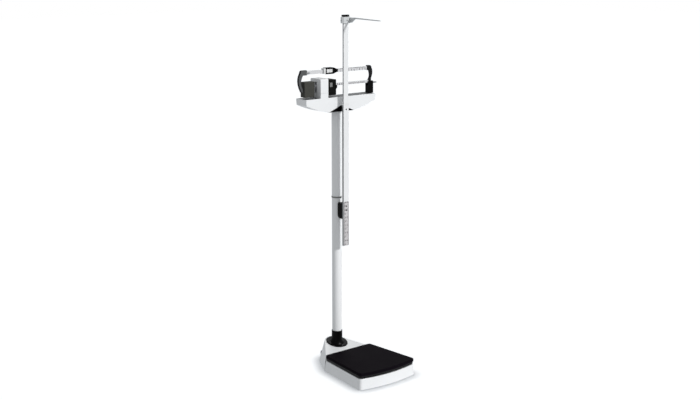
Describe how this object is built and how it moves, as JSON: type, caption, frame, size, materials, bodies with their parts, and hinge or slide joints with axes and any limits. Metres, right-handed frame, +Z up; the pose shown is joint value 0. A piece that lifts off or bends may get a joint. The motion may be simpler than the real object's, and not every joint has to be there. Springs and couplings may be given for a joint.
{
  "type": "physician beam scale",
  "caption": "Upright physician scale: low platform on a lever base, column with a double sliding-poise beam at eye height, and a telescopic measuring rod with folding head bar.",
  "frame": {"origin": "middle of the bounding box, on the floor that the feet stand on", "axes": "+Z up; -Y towards the person who steps on the platform; +X towards the right-hand end of the beam, where the heavier readings are"},
  "size_m": [0.498, 0.53, 1.811],
  "materials": {
    "white_enamel": "glossy white stoved enamel on cast and tubular metal",
    "black_enamel": "satin black enamel",
    "grey_enamel": "mid-grey enamel",
    "black_rubber": "smooth black rubber with a soft sheen",
    "black_moulding": "satin black moulding",
    "cast_iron": "cast iron under thin textured black-brown paint",
    "bright_steel": "bright machined steel",
    "anodised_aluminium": "satin anodised extrusion with printed graduations",
    "cast_aluminium": "bead-blasted cast aluminium",
    "white_plastic": "white moulding"
  },
  "bodies": {
    "frame": {"base_housing": "white_enamel", "base_pan": "bright_steel", "foot_front_left": "black_rubber", "foot_front_right": "black_rubber", "foot_rear_left": "black_rubber", "foot_rear_right": "black_rubber", "castor_axle": "bright_steel", "front_stand": "bright_steel", "rear_stand": "bright_steel", "front_bearer": "bright_steel", "rear_bearer": "bright_steel", "platform_plate": "black_enamel", "platform_mat": "black_rubber", "column_tube": "white_enamel", "column_collar": "black_moulding", "column_saddle": "black_moulding", "housing_shell": "white_enamel", "housing_cover_left": "grey_enamel", "housing_cover_right": "grey_enamel", "tower_cap": "white_enamel", "fulcrum_yoke": "bright_steel", "transfer_pin": "bright_steel", "lock_housing": "black_moulding", "lock_pin": "bright_steel", "outer_rod": "anodised_aluminium", "rod_guide_cap": "white_plastic", "lower_clamp": "black_moulding", "upper_clamp": "black_moulding", "clamp_band": "grey_enamel", "rod_screw_1": "bright_steel", "rod_screw_2": "bright_steel", "rod_screw_3": "bright_steel"},
    "castor_left": {"castor_wheel_left": "grey_enamel"},
    "castor_right": {"castor_wheel_right": "grey_enamel"},
    "long_lever": {"long_lever": "cast_iron", "lever_link": "bright_steel"},
    "short_lever": {"short_lever": "cast_iron"},
    "draw_rod": {"draw_rod": "bright_steel", "draw_rod_pin": "bright_steel"},
    "transfer_lever": {"transfer_lever": "bright_steel"},
    "beam_link": {"beam_link": "bright_steel"},
    "beam": {"lower_bar": "anodised_aluminium", "upper_bar": "anodised_aluminium", "left_bracket": "black_enamel", "right_bracket": "black_enamel", "counterweight": "cast_iron", "fulcrum_pin": "bright_steel"},
    "zero_screw": {"zero_screw": "bright_steel"},
    "main_poise": {"main_poise": "cast_iron", "main_poise_label": "white_plastic"},
    "fine_poise": {"fine_poise": "black_moulding", "fine_poise_cap": "white_plastic"},
    "lock_lever": {"lock_lever": "black_moulding"},
    "inner_rod": {"inner_rod": "anodised_aluminium", "rod_top_cap": "black_moulding"},
    "head_carriage": {"head_carriage": "cast_aluminium", "tongue_pin": "bright_steel"},
    "tongue": {"tongue": "cast_aluminium"}
  },
  "joints": [
    {"name": "beam_tilt", "type": "hinge", "parent": "frame", "child": "beam", "pos_m": [-0.117, 0.171, 1.463], "axis": [0, 1, 0], "range_deg": [-1.2, 1.2]},
    {"name": "link_swing", "type": "hinge", "parent": "beam", "child": "beam_link", "pos_m": [-0.1505, 0.171, 1.463], "axis": [0, 1, 0], "range_deg": [-1.3, 1.3]},
    {"name": "transfer_tilt", "type": "hinge", "parent": "frame", "child": "transfer_lever", "pos_m": [0.05, 0.171, 1.388], "axis": [0, 1, 0], "range_deg": [-0.22, 0.22]},
    {"name": "draw_rod_lift", "type": "slide", "parent": "frame", "child": "draw_rod", "axis": [0, 0, 1], "range_m": [-0.00023, 0.00023]},
    {"name": "long_lever_tilt", "type": "hinge", "parent": "frame", "child": "long_lever", "pos_m": [-0.01, -0.201, 0.029], "axis": [1, 0, 0], "range_deg": [-0.035, 0.035]},
    {"name": "short_lever_tilt", "type": "hinge", "parent": "frame", "child": "short_lever", "pos_m": [-0.01, 0.047, 0.048], "axis": [1, 0, 0], "range_deg": [-0.03, 0.03]},
    {"name": "main_poise_slide", "type": "slide", "parent": "beam", "child": "main_poise", "axis": [1, 0, 0], "range_m": [-0.004, 0.205]},
    {"name": "fine_poise_slide", "type": "slide", "parent": "beam", "child": "fine_poise", "axis": [1, 0, 0], "range_m": [-0.08, 0.18]},
    {"name": "zero_screw_turn", "type": "hinge", "parent": "beam", "child": "zero_screw", "pos_m": [-0.188, 0.171, 1.531], "axis": [0, 1, 0], "continuous": true},
    {"name": "lock_lever_swing", "type": "hinge", "parent": "frame", "child": "lock_lever", "pos_m": [0.2165, 0.171, 1.456], "axis": [0, 1, 0], "range_deg": [0, 25]},
    {"name": "castor_left_spin", "type": "hinge", "parent": "frame", "child": "castor_left", "pos_m": [-0.054, 0.235, 0.031], "axis": [1, 0, 0], "continuous": true},
    {"name": "castor_right_spin", "type": "hinge", "parent": "frame", "child": "castor_right", "pos_m": [0.034, 0.235, 0.031], "axis": [1, 0, 0], "continuous": true},
    {"name": "rod_extend", "type": "slide", "parent": "frame", "child": "inner_rod", "axis": [0, 0, 1], "range_m": [-0.38, 0.29]},
    {"name": "head_slide", "type": "slide", "parent": "inner_rod", "child": "head_carriage", "axis": [0, 0, 1], "range_m": [-0.7, 0]},
    {"name": "tongue_fold", "type": "hinge", "parent": "head_carriage", "child": "tongue", "pos_m": [0.0115, 0.079, 1.777], "axis": [1, 0, 0], "range_deg": [0, 90]}
  ],
  "couplings": [
    {"joint": "link_swing", "follows": "beam_tilt", "ratio": -1},
    {"joint": "transfer_tilt", "follows": "beam_tilt", "ratio": 0.16708},
    {"joint": "draw_rod_lift", "follows": "beam_tilt", "m_per_rad": 0.010025},
    {"joint": "long_lever_tilt", "follows": "beam_tilt", "ratio": 0.026949},
    {"joint": "short_lever_tilt", "follows": "beam_tilt", "ratio": -0.021481}
  ]
}
